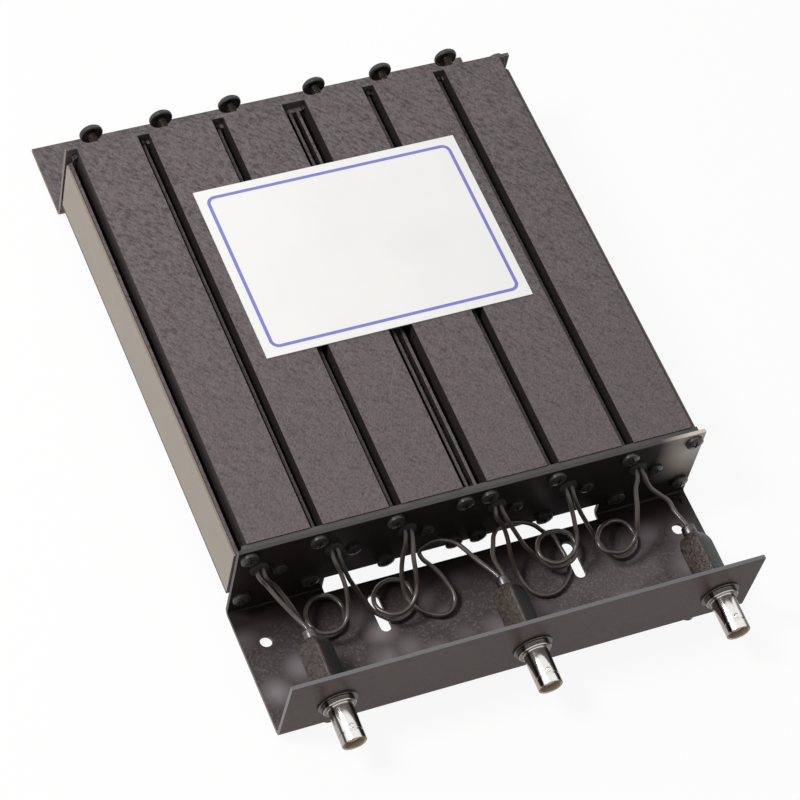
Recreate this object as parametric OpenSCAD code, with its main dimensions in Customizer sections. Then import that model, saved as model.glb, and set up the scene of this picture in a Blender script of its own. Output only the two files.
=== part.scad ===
// Vehicle duplexer: six notch cavities in two extrusions between two folded sheets,
// three coaxial jacks on a front flange, eight coaxial leads, six push-pull tuning rods.
// Millimetres. The layout frame has y = 0 at the front face of the front upright and
// z = 0 at the underside of the sheets; place() moves it to the frame of the part.

/* [Cavities] */
// Width of the inner and outer cell of each extrusion
cell_width = 24.8; // [24.6:0.1:32]
// Width of the middle cell of each extrusion
middle_cell_width = 26.3; // [22.4:0.1:34]
// Clear gap between two cells of one extrusion
cell_gap = 4.9; // [4:0.1:8]
// Clear gap between the two extrusions at strip level
centre_gap = 9.8; // [8:0.1:14]
// Distance from the outer cell to the side of the part
side_margin = 4.4; // [4:0.1:8]
// Height of the cells
cell_height = 34; // [30:0.5:44]
// Height of the cells above the underside of the sheets
cell_lift = 8; // [5:0.5:14]
// Wall thickness of the cells
cell_wall = 1.6; // [1.2:0.1:1.8]
// Distance between the outer faces of the two uprights
body_depth = 194; // [150:1:260]

/* [Sheets] */
// Thickness of the folded sheets
sheet = 1.6; // [1.2:0.1:2]
// Inner radius of the folds
fold_radius = 1; // [0.8:0.1:1.6]
// Depth of the front shelf
shelf_depth = 54; // [48:0.5:70]
// Height of the front flange
flange_height = 37.3; // [32:0.5:41]
// Outward lean of the front flange in degrees
flange_lean = 2.5; // [0:0.5:4]
// Depth of the rear foot
foot_depth = 33; // [26:0.5:44]
// Half width of the opening under the front upright
window_half = 57; // [40:1:60]
// Thickness of the two end plates
plate = 2; // [1.2:0.1:2.4]

/* [Mounting] */
// Diameter of the four mounting holes
mount_hole = 4.8; // [4.2:0.1:6]
// Distance of the mounting holes from the middle
mount_x = 85.4; // [78:0.1:88]
// Distance of the front mounting holes in front of the upright
mount_front = 15.7; // [10:0.1:22]
// Distance of the rear mounting holes behind the upright
mount_rear = 16.3; // [12:0.1:20]
// Distance of the shelf slots from the middle
slot_x = 40.3; // [30:0.1:50]
// Distance of the middle of the shelf slots in front of the upright
slot_front = 16.7; // [14:0.1:26]
// Width of the shelf slots
slot_width = 4.4; // [4:0.1:6]
// Length of the straight sides of the shelf slots
slot_length = 12.2; // [6:0.1:16]
// Height of the feet under the sheets
foot_height = 2.4; // [1.5:0.1:5]
// Diameter of the feet
foot_diameter = 6; // [5:0.5:10]

/* [Jacks] */
// Position of the left jack across the flange
jack_left_x = -74.5; // [-80:0.5:-70]
// Distance from one jack to the next
jack_pitch = 77.8; // [70:0.1:79]
// Height of the jack axes
jack_z = 17; // [13:0.5:22]
// Diameter of the jack barrels
barrel = 9.7; // [9.6:0.1:9.8]
// Diameter of the round collar of each jack
collar = 13; // [12:0.1:14]
// Reach of the barrels in front of the flange
jack_reach = 17.5; // [15:0.5:20]

/* [Leads] */
// Diameter of the coaxial leads
lead = 1.8; // [1.4:0.1:1.9]
// Distance between the two leads of one port
lead_pair = 2.4; // [2.2:0.1:3]
// Offset of the ports from the tuning axes
port_offset = 8.6; // [6:0.1:8.8]
// Height of the ports
port_z = 29; // [26:0.5:34]

/* [Tuning] */
// How far the outer tuning axes sit from the middles of their cells towards the middle cell
tuning_shift = 1.05; // [0:0.05:1.2]
// Diameter of the tuning rods
rod = 3.6; // [3:0.1:5]
// Running clearance around each rod in its bushing
rod_clearance = 0.05; // [0.02:0.01:0.1]
// Diameter of the tuning knobs
knob = 9.6; // [8:0.1:10]
// Thickness of the tuning knobs
knob_width = 2.2; // [2:0.1:4]
// Distance of the knobs behind the rear upright
knob_out = 15.8; // [15.7:0.1:18]

/* [Label] */
// Width of the label plate
label_width = 110.5; // [80:0.5:116]
// Depth of the label plate
label_depth = 81.5; // [50:0.5:100]
// Thickness of the label plate
label_thick = 0.45; // [0.3:0.05:0.8]
// Middle of the label plate behind the front upright
label_y = 118.8; // [70:0.1:130]
// Middle of the label plate across the part
label_x = 0.7; // [-4:0.1:4]

/* [Hidden] */
$fa = 4;
$fs = 0.4;

// Cells of the right half, from the middle outwards: near side, far side, tuning axis
near_1 = centre_gap / 2;
far_1 = near_1 + cell_width;
near_2 = far_1 + cell_gap;
far_2 = near_2 + middle_cell_width;
near_3 = far_2 + cell_gap;
far_3 = near_3 + cell_width;
half = far_3 + side_margin;
middle_1 = (near_1 + far_1) / 2;
middle_2 = (near_2 + far_2) / 2;
middle_3 = (near_3 + far_3) / 2;
axis_1 = middle_1 + tuning_shift;
axis_3 = middle_3 - tuning_shift;
axes = [-axis_3, -middle_2, -axis_1, axis_1, middle_2, axis_3];
strip_top = cell_lift + cell_height;
axis_z = cell_lift + cell_height / 2;
block_y0 = sheet + plate;
block_y1 = body_depth - sheet - plate;

// Ribs between the cells stand on webs and end below the strips
rib = 1.2;
rib_top = strip_top - 4;
web_z = cell_lift + 1.7;
web = 2.4;
cover = 0.9;
cover_top = strip_top - 6.4;
outer_rib_top = cover_top + 0.8;

// Screws: rows on the uprights, clearance and heads
screw_x = [near_1 + 0.1, far_1 + cell_gap / 2 + 0.7, far_2 + cell_gap / 2 + 0.1, far_3];
screw_top = strip_top - 4.4;
screw_bottom = cell_lift + 2.6;
screw = 3;
screw_gap = 0.2;
head = 7;
head_high = 2.4;
cross_length = 3.8;
cross_width = 0.7;

// Front flange: centre of its fold, length above the fold, jack foot points on its face
outer_fold = fold_radius + sheet;
dimple = 2.6;
dimple_depth = 0.8;
fold_y = -shelf_depth + outer_fold;
flange_length = (flange_height - outer_fold + fold_radius * sin(flange_lean)) / cos(flange_lean);
jack_s = (jack_z - outer_fold + outer_fold * sin(flange_lean)) / cos(flange_lean);
jack_y = fold_y - outer_fold * cos(flange_lean) - jack_s * sin(flange_lean);
jacks = [jack_left_x, jack_left_x + jack_pitch, jack_left_x + 2 * jack_pitch];
jack_tip = jack_y - jack_reach * cos(flange_lean) - barrel / 2 * sin(flange_lean);

// Jacks, in front of the face of the flange: washer, collar, groove, bayonet studs, cup
washer = 0.6;
washer_width = 15.5;
collar_length = 2.2;
groove = 0.6;
groove_depth = 0.3;
tip_wall = 3.4;
stud = 2;
stud_span = 11;
cup = 8.1;
cup_floor = 8;
core = 4;
core_head = 4.9;
core_back = 2;
pin = 2.1;
pin_bore = 1.3;
pin_back = 2.6;
pin_bore_length = 8;

// Jacks, behind the face of the flange: thread, nut, stub, boot block, ferrule
thread = barrel - 1;
nut = 2.6;
nut_width = 12.7;
stub = 6;
stub_length = 8;
boot_start = sheet + nut + 0.6;
boot_length = 21.2;
boot_end = boot_start + boot_length;
boot_straight = 18.4;
boot_half = 4.9;
boot_half_end = 3.4;
boot_corner = 1;
boot_turn = 52;
boot_diagonal = (2 * boot_half - boot_corner) / sqrt(2);
ferrule = 4;
ferrule_width = 5.4;
ferrule_pair = 1.95;

// Ports
grommet = 5.8;
grommet_lip = 0.7;
grommet_out = 0.9;
port_x = [for (c = axes) c - port_offset];

// Coupling loops between the ends of the two leads of a port
wire = 1.2;
loop_bar = lead_pair - wire / 2;
loop_reach = 7;
loop_drop = 8;

// Tuning gear
bushing = 7;
bushing_flange = 1.6;
bushing_out = 3.6;
lock = 2.7;
lock_width = 9;
rod_inside = 86;
rod_y0 = body_depth - rod_inside;
knob_y = body_depth + knob_out;
knob_edge = 0.5;
resonator = 8;
resonator_bore = 6;
resonator_bore_y = 60;
resonator_gap = 41;
resonator_end = body_depth - resonator_gap;
resonator_thread = 9;

// Feet under the front fold and the rear edge
foot_x = 74;
foot_inset = 5;

rear_edge = body_depth + foot_depth;
centre_y = (jack_tip + rear_edge) / 2;

module place() {
    translate([0, -centre_y, foot_height]) children();
}

// Extrudes a side view (y, z) across the part from x0 to x1
module across(x0, x1) {
    translate([x0, 0, 0]) rotate([90, 0, 90]) linear_extrude(x1 - x0) children();
}

// Extrudes a front view (x, z) along the part from y0 to y1
module along(y0, y1) {
    translate([0, y1, 0]) rotate([90, 0, 0]) linear_extrude(y1 - y0) children();
}

// Cylinder along +y
module pipe(r, y0, y1) {
    translate([0, y1, 0]) rotate([90, 0, 0]) cylinder(r = r, h = y1 - y0);
}

// Ring sector of a fold between two angles less than 180 degrees apart
module fold(from, to) {
    far = 3 * outer_fold;
    mid = (from + to) / 2;
    intersection() {
        difference() {
            circle(outer_fold);
            circle(fold_radius);
        }
        polygon([
            [0, 0],
            [far * cos(from), far * sin(from)],
            [far * cos(mid), far * sin(mid)],
            [far * cos(to), far * sin(to)]
        ]);
    }
}

module at_jack(i) {
    translate([jacks[i], jack_y, jack_z]) rotate([90 + flange_lean, 0, 0]) children();
}

// Point given along the jack axis, d behind the face of the flange and s to the side
function behind_jack(i, d, s) = [
    jacks[i] + s,
    jack_y + d * cos(flange_lean),
    jack_z + d * sin(flange_lean)
];

module screw_row(z) {
    for (x = screw_x, s = [-1, 1]) translate([s * x, 0, z]) children();
}

// Pan head screw along +y with the underside of its head at y = 0
module pan_screw(length, r = screw / 2) {
    pipe(r, 0, length);
    difference() {
        intersection() {
            pipe(head / 2, -head_high, 0);
            translate([0, head - head_high, 0]) sphere(head);
        }
        translate([-cross_length / 2, -head_high - 1, -cross_width / 2])
            cube([cross_length, 2, cross_width]);
        translate([-cross_width / 2, -head_high - 1, -cross_length / 2])
            cube([cross_width, 2, cross_length]);
    }
}

module front_bracket() {
    color([0.13, 0.12, 0.12])
    difference() {
        across(-half, half) {
            translate([fold_y, 0]) square([shelf_depth - outer_fold - fold_radius, sheet]);
            translate([fold_y, outer_fold]) fold(180 + flange_lean, 270);
            translate([fold_y, outer_fold]) rotate(flange_lean)
                translate([-outer_fold, 0]) square([sheet, flange_length]);
            translate([-fold_radius, outer_fold]) fold(270, 360);
            translate([0, outer_fold]) square([sheet, strip_top - outer_fold]);
        }
        translate([-window_half, -fold_radius - sheet, -1])
            cube([2 * window_half, 3 * sheet + fold_radius, cell_lift + 1.3]);
        for (i = [0 : 2]) at_jack(i) cylinder(d = thread, h = 4 * sheet, center = true);
        for (s = [-1, 1]) translate([s * mount_x, -mount_front, -1])
            cylinder(d = mount_hole, h = sheet + 2);
        for (s = [-1, 1]) translate([s * slot_x, -slot_front, -1]) {
            translate([-slot_width / 2, -slot_length / 2, 0])
                cube([slot_width, slot_length, sheet + 2]);
            for (e = [-1, 1]) translate([0, e * slot_length / 2, 0])
                cylinder(d = slot_width, h = sheet + 2);
        }
        translate([half - 4, -4.2, sheet - dimple_depth]) cylinder(d = dimple, h = sheet);
        front_holes(-1, sheet + 0.01);
    }
}

// Screw and port holes shared by the front upright and the front end plate
module front_holes(y0, y1) {
    for (z = [screw_bottom, screw_top]) screw_row(z) pipe(screw / 2 + screw_gap, y0, y1);
    for (x = axes) translate([x, 0, axis_z]) pipe(screw / 2 + screw_gap, y0, y1);
    for (x = port_x) translate([x, 0, port_z]) pipe(grommet / 2, y0, y1);
}

module front_end_plate() {
    color([0.2, 0.19, 0.19])
    difference() {
        translate([-far_3 - 2, sheet, cell_lift + 0.4])
            cube([2 * far_3 + 4, plate, cell_height - 0.8]);
        for (z = [screw_bottom, screw_top]) screw_row(z) pipe(screw / 2, sheet - 1, block_y0 + 1);
        for (x = axes) translate([x, 0, axis_z])
            pipe(screw / 2 + screw_gap, sheet - 1, block_y0 + 1);
        for (x = port_x) translate([x, 0, port_z]) pipe(grommet / 2, sheet - 1, block_y0 + 1);
    }
}

module rear_bracket() {
    color([0.36, 0.33, 0.34])
    difference() {
        across(-half, half) {
            translate([body_depth - sheet, outer_fold]) square([sheet, strip_top - outer_fold]);
            translate([body_depth + fold_radius, outer_fold]) fold(180, 270);
            translate([body_depth + fold_radius, 0]) square([foot_depth - fold_radius, sheet]);
        }
        for (z = [screw_bottom, screw_top]) screw_row(z)
            pipe(screw / 2 + screw_gap, body_depth - 3, body_depth + 1);
        for (x = axes) translate([x, 0, axis_z])
            pipe(bushing / 2, body_depth - 3, body_depth + 1);
        for (s = [-1, 1]) translate([s * mount_x, body_depth + mount_rear, -1])
            cylinder(d = mount_hole, h = sheet + 2);
    }
}

module rear_end_plate() {
    color([0.36, 0.33, 0.34])
    difference() {
        translate([-far_3 - 2, block_y1, cell_lift + 0.4])
            cube([2 * far_3 + 4, plate, cell_height - 0.4]);
        for (s = [-1, 1], g = [[0, near_1], [far_1, near_2], [far_2, near_3], [far_3, half]])
            translate([s * (g[0] + g[1]) / 2, block_y1, rib_top + cell_height / 2])
                cube([g[1] - g[0] + 0.01, 2 * plate + 1, cell_height], center = true);
        for (z = [screw_bottom, screw_top]) screw_row(z)
            pipe(screw / 2, block_y1 - 1, block_y1 + plate + 1);
        for (x = axes) translate([x, 0, axis_z])
            pipe(bushing / 2, block_y1 - 1, block_y1 + plate + 1);
    }
}

// One three-cell extrusion seen from the front, right half
module block_outline() {
    for (c = [[near_1, far_1], [near_2, far_2], [near_3, far_3]])
        difference() {
            translate([c[0], cell_lift]) square([c[1] - c[0], cell_height]);
            translate([c[0] + cell_wall, cell_lift + cell_wall])
                square([c[1] - c[0] - 2 * cell_wall, cell_height - 2 * cell_wall]);
        }
    translate([1.1, web_z]) square([near_1 - 1.1 + 0.1, web]);
    translate([far_1 - 0.1, web_z]) square([cell_gap + 0.2, web]);
    translate([far_2 - 0.1, web_z]) square([cell_gap + 0.2, web]);
    translate([far_3 - 0.1, web_z]) square([side_margin - cover + 0.1, web]);
    for (x = [1.1, far_1 + cell_gap / 2 - rib / 2, far_2 + cell_gap / 2 - rib / 2])
        translate([x, web_z]) square([rib, rib_top - web_z]);
    translate([half - cover - rib, web_z]) square([rib, outer_rib_top - web_z]);
    translate([half - cover - rib, web_z]) square([cover + rib, 0.9]);
}

module cavity_block_right() {
    color([0.36, 0.33, 0.34]) along(block_y0, block_y1) block_outline();
}

module cavity_block_left() {
    color([0.36, 0.33, 0.34]) along(block_y0, block_y1) mirror([1, 0]) block_outline();
}

module side_cover() {
    translate([half - cover, block_y0, web_z + 0.9])
        cube([cover, block_y1 - block_y0, cover_top - web_z - 0.9]);
}

module side_cover_right() {
    color([0.62, 0.59, 0.55]) side_cover();
}

module side_cover_left() {
    color([0.62, 0.59, 0.55]) mirror([1, 0, 0]) side_cover();
}

module label_plate() {
    color([0.93, 0.93, 0.94])
    translate([label_x - label_width / 2, label_y - label_depth / 2, strip_top])
        cube([label_width, label_depth, label_thick]);
}

module resonator_at(i) {
    color([0.72, 0.5, 0.3]) translate([axes[i], 0, axis_z]) difference() {
        pipe(resonator / 2, block_y0, resonator_end);
        pipe(resonator_bore / 2, resonator_bore_y, resonator_end + 1);
        pipe(screw / 2, block_y0 - 1, block_y0 + resonator_thread);
    }
}

module rod_at(i) {
    color([0.35, 0.32, 0.28]) translate([axes[i], 0, axis_z]) pipe(rod / 2, rod_y0, knob_y + knob_width);
}

module knob_at(i) {
    e = knob_edge;
    color([0.3, 0.28, 0.25]) translate([axes[i], knob_y, axis_z]) rotate([-90, 0, 0])
        rotate_extrude() polygon([
            [rod / 2, 0],
            [knob / 2 - e, 0],
            [knob / 2, e],
            [knob / 2, knob_width - e],
            [knob / 2 - e, knob_width],
            [rod / 2, knob_width]
        ]);
}

module tuning_bushings() {
    color([0.75, 0.62, 0.35]) for (x = axes) translate([x, 0, axis_z]) difference() {
        union() {
            pipe(bushing / 2, block_y1 - 0.1, body_depth + bushing_out);
            pipe(bushing / 2 + bushing_flange, block_y1 - bushing_flange, block_y1);
        }
        pipe(rod / 2 + rod_clearance, block_y1 - 3, body_depth + bushing_out + 1);
    }
}

module lock_nuts() {
    color([0.7, 0.68, 0.62]) for (x = axes) translate([x, body_depth, axis_z])
        rotate([-90, 0, 0]) difference() {
            cylinder(d = lock_width / cos(30), h = lock, $fn = 6);
            translate([0, 0, -1]) cylinder(d = bushing, h = lock + 2);
        }
}

// Wire loops inside the cells, from the leads' ends back to the end plate
module coupling_loops() {
    color([0.8, 0.55, 0.35]) for (x = port_x) translate([x, block_y0, port_z]) {
        translate([-loop_bar / 2, 0, -wire / 2]) cube([loop_bar, wire, wire]);
        translate([-wire / 2, 0, -wire / 2]) cube([wire, loop_reach, wire]);
        translate([-wire / 2, loop_reach - wire, -loop_drop])
            cube([wire, wire, loop_drop + wire / 2]);
        translate([-wire / 2, 0, -loop_drop]) cube([wire, loop_reach, wire]);
    }
}

module port_grommets() {
    color([0.07, 0.07, 0.07]) for (x = port_x) translate([x, 0, port_z]) difference() {
        union() {
            pipe(grommet / 2, -0.1, block_y0);
            pipe(grommet / 2 + grommet_lip, -grommet_out, 0);
        }
        for (s = [-1, 1]) translate([s * lead_pair / 2, 0, 0])
            pipe(lead / 2, -2, block_y0 + 1);
    }
}

// Leads: swept along hand-laid routes in the bay behind the flange, stretched with the bay
sides = 8;
stretch_x = half / 95;
stretch_y = shelf_depth / 54;
function bay(route) = [for (p = route) [p.x * stretch_x, p.y * stretch_y, p.z]];
function port_end(i, s) = [
    [port_x[i] + s * lead_pair / 2, block_y0, port_z],
    [port_x[i] + s * lead_pair / 2, -1.2, port_z]
];
function jack_end(i, s) = [
    behind_jack(i, boot_end + ferrule + 0.6, s * ferrule_pair / 2),
    behind_jack(i, boot_end, s * ferrule_pair / 2)
];
function flip(list) = [for (k = [len(list) - 1 : -1 : 0]) list[k]];
function unit(v) = v / norm(v);
function heading(p, k) = unit(p[min(k + 1, len(p) - 1)] - p[max(k - 1, 0)]);
function ring(c, t, r) = let (u = unit(cross(t, [0, 0, 1])), v = cross(u, t))
    [for (a = [0 : sides - 1]) c + r * (cos(a * 360 / sides) * u + sin(a * 360 / sides) * v)];

module sweep(p, r) {
    n = len(p);
    points = [for (k = [0 : n - 1]) each ring(p[k], heading(p, k), r)];
    faces = concat(
        [[for (a = [0 : sides - 1]) a]],
        [for (k = [0 : n - 2], a = [0 : sides - 1]) let (b = (a + 1) % sides)
            [k * sides + b, k * sides + a, (k + 1) * sides + a, (k + 1) * sides + b]],
        [[for (a = [sides - 1 : -1 : 0]) (n - 1) * sides + a]]
    );
    color([0.2, 0.18, 0.17]) polyhedron(points, faces);
}

route_1 = [
    [-87, -3, 28.5], [-84, -6, 24.5], [-81, -11, 21.5], [-77.5, -17, 19]
];
route_2 = [
    [-84.5, -3, 28], [-79.5, -5.5, 20.5], [-76, -9.5, 15], [-73, -14, 10], [-70.5, -17, 5.5],
    [-67.5, -19.5, 3.5], [-64, -21.5, 3.5], [-60, -21, 3], [-56, -19, 3], [-54, -14.5, 3],
    [-53.5, -10, 3], [-55.5, -6.5, 3.5], [-58.5, -5.5, 4.5], [-63, -6, 6], [-67.5, -9.5, 8],
    [-70, -14, 9], [-70, -18.5, 9.5], [-68, -21.5, 9], [-64.5, -23, 9], [-60.5, -23, 9.5],
    [-57, -21, 10.5], [-55, -17, 13], [-54.5, -13, 17.5], [-55.4, -8, 22.5], [-57.5, -3.5, 28]
];
route_3 = [
    [-54.8, -3.5, 27], [-52.3, -8, 19.5], [-49.5, -10.5, 14], [-46.5, -13.5, 9], [-43.5, -17, 5],
    [-40, -20, 3.5], [-37, -22, 3], [-33, -22, 3], [-29, -20, 3], [-26.5, -16, 3],
    [-26, -11.5, 3.5], [-27.5, -8, 4], [-31, -6.5, 4.5], [-35.5, -7, 5.5], [-40, -10, 7],
    [-42.5, -13.5, 8], [-43, -17.5, 8.5], [-41, -21, 9], [-38, -23, 9.5], [-34, -23, 10],
    [-30, -21, 11.5], [-27.5, -17.5, 14], [-27, -13.5, 18.5], [-27, -9, 23.5],
    [-25.9, -3.5, 28]
];
route_4 = [
    [-28.5, -3.5, 27], [-29.8, -6.5, 20], [-30.5, -9.5, 14.5], [-30.5, -13, 10], [-30, -16.5, 7],
    [-28.5, -19.5, 6], [-26, -22, 4.5], [-22.5, -24, 3.5], [-18.5, -25.5, 3.5],
    [-15, -25, 3.5], [-12.5, -22.5, 4], [-11.5, -19, 5], [-12.5, -14.5, 6], [-14.5, -10, 7.5],
    [-17, -6.5, 9], [-19.5, -4, 11], [-20, -2, 13], [-18, -1.5, 15], [-15, -1.5, 17],
    [-11.5, -3, 18.5], [-8, -5.5, 19], [-5.5, -9.5, 19], [-3, -13.5, 18]
];
route_5 = [
    [8.5, -3.5, 27], [11.5, -5, 21.5], [13, -8.5, 16.5], [13.5, -12, 12], [14.5, -15, 8],
    [15.5, -18.5, 5], [17, -23, 3.5], [19.5, -27, 3], [23.5, -29, 3], [28.5, -28.5, 3],
    [33, -25.5, 3], [36, -21.5, 3], [37, -16, 3], [36.5, -11, 3.5], [35, -6, 5], [32, -4.5, 6.5],
    [28, -2.5, 10], [23, -1.5, 13], [18, -1.5, 15], [13, -2.5, 16.5], [9, -5, 17], [6.5, -9.5, 17],
    [4.5, -14.5, 17]
];
route_6 = [
    [11.5, -3.5, 27.5], [15.5, -8, 20], [19, -12, 14.5], [23, -15, 10], [26.5, -18.5, 7],
    [30.5, -20.5, 6.5], [35, -20, 6], [39.5, -17.5, 6], [41.5, -13.5, 6.5], [41, -9.5, 7],
    [38, -7, 8], [34, -6.5, 9], [29, -8, 10.5], [25, -12, 12], [24, -16.5, 12],
    [26, -19.5, 11.5], [29.5, -21, 11], [34, -20.5, 11.5], [38, -18, 12.5], [39.5, -15, 15],
    [39.5, -11.5, 18.5], [39, -7.5, 23], [38, -3.5, 28]
];
route_7 = [
    [40.6, -3.5, 27], [43, -7, 20.5], [46.5, -9.5, 13.5], [49.5, -13, 8], [52, -16.5, 4.5],
    [54.5, -20, 3.5], [58, -22, 3], [62.5, -21, 3], [66, -17.5, 3], [67, -12.5, 3],
    [65.5, -8.5, 3.5], [61.5, -7, 5], [55.5, -9, 8], [50.5, -13, 11], [48, -17.5, 11.5],
    [49, -21, 11], [52.5, -22.5, 10], [56.5, -23, 9.5], [60.5, -21.5, 10], [63.5, -19, 12],
    [64.5, -15.5, 16], [65.5, -11, 20.5], [66, -6.5, 24.5], [67.3, -3.5, 28]
];
route_8 = [
    [70.2, -3.5, 28], [71.8, -6.5, 24.2], [75.2, -9.5, 21.5], [78.5, -12.5, 19.5],
    [79.5, -16.5, 18]
];

module lead_1() {
    sweep(concat(port_end(0, -1), bay(route_1), jack_end(0, 0)), lead / 2);
}

module lead_2() {
    sweep(concat(port_end(0, 1), bay(route_2), flip(port_end(1, -1))), lead / 2);
}

module lead_3() {
    sweep(concat(port_end(1, 1), bay(route_3), flip(port_end(2, 1))), lead / 2);
}

module lead_4() {
    sweep(concat(port_end(2, -1), bay(route_4), jack_end(1, -1)), lead / 2);
}

module lead_5() {
    sweep(concat(port_end(3, -1), bay(route_5), jack_end(1, 1)), lead / 2);
}

module lead_6() {
    sweep(concat(port_end(3, 1), bay(route_6), flip(port_end(4, -1))), lead / 2);
}

module lead_7() {
    sweep(concat(port_end(4, 1), bay(route_7), flip(port_end(5, -1))), lead / 2);
}

module lead_8() {
    sweep(concat(port_end(5, 1), bay(route_8), jack_end(2, 0)), lead / 2);
}

// Jack shell along its own axis: collar, barrel and studs in front, thread and stub behind
module jack_shell() {
    groove_z = jack_reach - tip_wall - groove;
    color([0.78, 0.77, 0.75]) difference() {
        union() {
            translate([0, 0, washer]) cylinder(d = collar, h = collar_length);
            translate([0, 0, washer]) cylinder(d = barrel, h = jack_reach - washer);
            translate([0, 0, -boot_start]) cylinder(d = thread, h = boot_start + washer + 0.1);
            translate([0, 0, -boot_start - stub_length]) cylinder(d = stub, h = stub_length + 1);
            translate([0, stud_span / 2, groove_z - stud / 2]) rotate([90, 0, 0])
                cylinder(d = stud, h = stud_span);
        }
        translate([0, 0, groove_z]) difference() {
            cylinder(d = barrel + 1, h = groove);
            translate([0, 0, -1]) cylinder(d = barrel - 2 * groove_depth, h = groove + 2);
        }
        translate([0, 0, cup_floor]) cylinder(d = cup, h = jack_reach);
        translate([0, 0, -boot_start - stub_length - 1])
            cylinder(d = core, h = boot_start + stub_length + cup_floor + 2);
    }
}

module jack_left() {
    at_jack(0) jack_shell();
}

module jack_middle() {
    at_jack(1) jack_shell();
}

module jack_right() {
    at_jack(2) jack_shell();
}

module jack_washers() {
    color([0.1, 0.1, 0.1]) for (i = [0 : 2]) at_jack(i) difference() {
        cylinder(d = washer_width, h = washer);
        translate([0, 0, -1]) cylinder(d = thread, h = washer + 2);
    }
}

module jack_nuts() {
    color([0.75, 0.74, 0.72]) for (i = [0 : 2]) at_jack(i) translate([0, 0, -sheet - nut])
        difference() {
            cylinder(d = nut_width / cos(30), h = nut, $fn = 6);
            translate([0, 0, -1]) cylinder(d = thread, h = nut + 2);
        }
}

module jack_insulators() {
    back = boot_start + stub_length;
    color([0.85, 0.8, 0.68]) for (i = [0 : 2]) at_jack(i) difference() {
        union() {
            translate([0, 0, -back]) cylinder(d = core, h = back + cup_floor + 1);
            translate([0, 0, cup_floor])
                cylinder(d = core_head, h = jack_reach - core_back - cup_floor);
            translate([0, 0, cup_floor]) cylinder(d = cup, h = 1.2);
        }
        translate([0, 0, -back - 1]) cylinder(d = pin, h = back + jack_reach);
    }
}

module jack_contacts() {
    back = boot_start + stub_length;
    color([0.85, 0.68, 0.3]) for (i = [0 : 2]) at_jack(i) difference() {
        translate([0, 0, -back]) cylinder(d = pin, h = back + jack_reach - pin_back);
        translate([0, 0, jack_reach - pin_bore_length])
            cylinder(d = pin_bore, h = pin_bore_length);
    }
}

// Boot block behind the nut: square with cut corners, one of them up, narrowing to the ferrule
module boot(i) {
    color([0.24, 0.19, 0.15]) at_jack(i) translate([0, 0, -boot_start]) difference() {
        rotate([0, 0, boot_turn]) intersection() {
            for_both_sides() polygon([
                [-boot_half, 0],
                [-boot_half, -boot_straight],
                [-boot_half_end, -boot_length],
                [boot_half_end, -boot_length],
                [boot_half, -boot_straight],
                [boot_half, 0]
            ]);
            translate([0, 0, -boot_length]) rotate(45)
                translate([-boot_diagonal, -boot_diagonal, 0])
                cube([2 * boot_diagonal, 2 * boot_diagonal, boot_length]);
        }
        translate([0, 0, -stub_length]) cylinder(d = stub, h = stub_length + 1);
    }
}

// Common part of one outline extruded along both axes across the jack
module for_both_sides() {
    intersection() {
        rotate([90, 0, 0]) linear_extrude(4 * boot_half, center = true) children();
        rotate([90, 0, 90]) linear_extrude(4 * boot_half, center = true) children();
    }
}

module boot_left() {
    boot(0);
}

module boot_middle() {
    boot(1);
}

module boot_right() {
    boot(2);
}

// One ferrule per jack; the middle one holds two leads side by side
module jack_ferrules() {
    color([0.5, 0.5, 0.49]) for (i = [0 : 2]) at_jack(i)
        translate([0, 0, -boot_end - ferrule]) difference() {
            cylinder(d = ferrule_width, h = ferrule);
            for (s = i == 1 ? [-1, 1] : [0]) translate([s * ferrule_pair / 2, 0, -1])
                cylinder(d = lead, h = ferrule + 2);
        }
}

module front_top_screws() {
    color([0.09, 0.09, 0.09]) screw_row(screw_top) pan_screw(block_y0);
}

module front_bottom_screws() {
    color([0.09, 0.09, 0.09]) screw_row(screw_bottom) pan_screw(block_y0);
}

module resonator_screws() {
    color([0.09, 0.09, 0.09]) for (x = axes) translate([x, 0, axis_z]) scale(0.8)
        pan_screw((block_y0 + resonator_thread - 1) / 0.8, screw / 1.6);
}

module rear_top_screws() {
    color([0.09, 0.09, 0.09]) translate([0, body_depth, 0]) mirror([0, 1, 0])
        screw_row(screw_top) pan_screw(sheet + plate);
}

module rear_bottom_screws() {
    color([0.09, 0.09, 0.09]) translate([0, body_depth, 0]) mirror([0, 1, 0])
        screw_row(screw_bottom) pan_screw(sheet + plate);
}

module base_feet() {
    color([0.06, 0.06, 0.06])
    for (s = [-1, 1], y = [fold_y + 1.8, rear_edge - foot_inset])
        translate([s * foot_x, y, -foot_height])
            cylinder(d = foot_diameter, h = foot_height);
}

place() front_bracket();
place() rear_bracket();
place() front_end_plate();
place() rear_end_plate();
place() cavity_block_left();
place() cavity_block_right();
place() side_cover_left();
place() side_cover_right();
place() label_plate();
place() resonator_at(0);  // resonator_1
place() resonator_at(1);  // resonator_2
place() resonator_at(2);  // resonator_3
place() resonator_at(3);  // resonator_4
place() resonator_at(4);  // resonator_5
place() resonator_at(5);  // resonator_6
place() rod_at(0);  // tuning_rod_1
place() rod_at(1);  // tuning_rod_2
place() rod_at(2);  // tuning_rod_3
place() rod_at(3);  // tuning_rod_4
place() rod_at(4);  // tuning_rod_5
place() rod_at(5);  // tuning_rod_6
place() knob_at(0);  // tuning_knob_1
place() knob_at(1);  // tuning_knob_2
place() knob_at(2);  // tuning_knob_3
place() knob_at(3);  // tuning_knob_4
place() knob_at(4);  // tuning_knob_5
place() knob_at(5);  // tuning_knob_6
place() tuning_bushings();
place() lock_nuts();
place() coupling_loops();
place() port_grommets();
place() lead_1();
place() lead_2();
place() lead_3();
place() lead_4();
place() lead_5();
place() lead_6();
place() lead_7();
place() lead_8();
place() jack_left();
place() jack_middle();
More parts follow.
